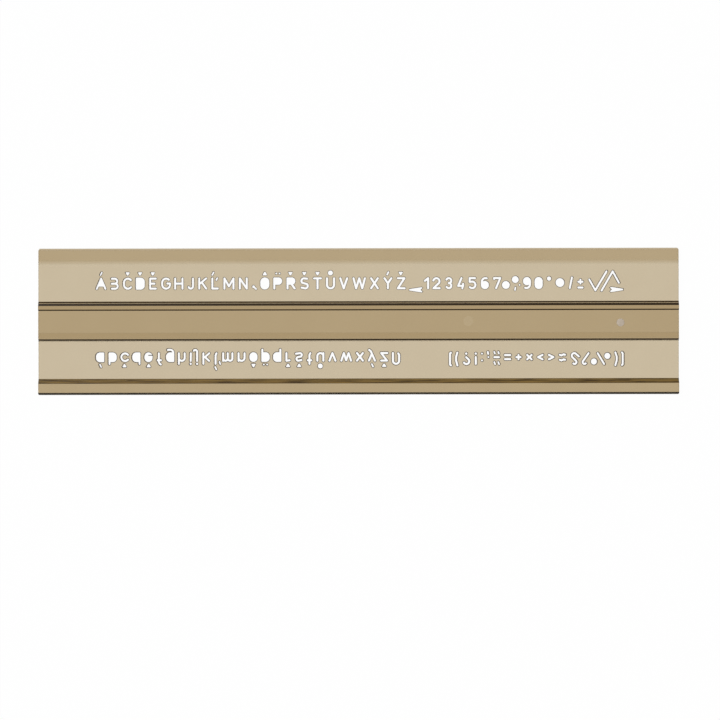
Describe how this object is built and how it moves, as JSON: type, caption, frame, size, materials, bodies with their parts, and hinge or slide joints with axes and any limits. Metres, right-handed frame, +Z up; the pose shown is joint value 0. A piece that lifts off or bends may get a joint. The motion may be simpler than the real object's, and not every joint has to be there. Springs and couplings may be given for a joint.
{
  "type": "lettering stencil",
  "caption": "Transparent lettering stencil: capitals, digits and signs along the top, lower case upside down along the bottom, between guide rails and a ridged spine.",
  "frame": {"origin": "middle of the rectangle that the part covers, at the height of the paper that its feet stand on", "axes": "+X along the letter rows in reading direction, +Y towards the row of capitals, +Z up from the paper"},
  "size_m": [0.16, 0.0366, 0.002],
  "materials": {
    "tinted_plastic": "clear, brown-tinted, polished; the colour deepens with thickness",
    "dot_paint": "opaque off-white enamel paint"
  },
  "bodies": {
    "root": {"upper_rail": "tinted_plastic", "capital_web": "tinted_plastic", "spine": "tinted_plastic", "top_ridge": "tinted_plastic", "under_ridge": "tinted_plastic", "lowercase_web": "tinted_plastic", "lower_rail": "tinted_plastic", "size_dot": "dot_paint"}
  },
  "joints": []
}
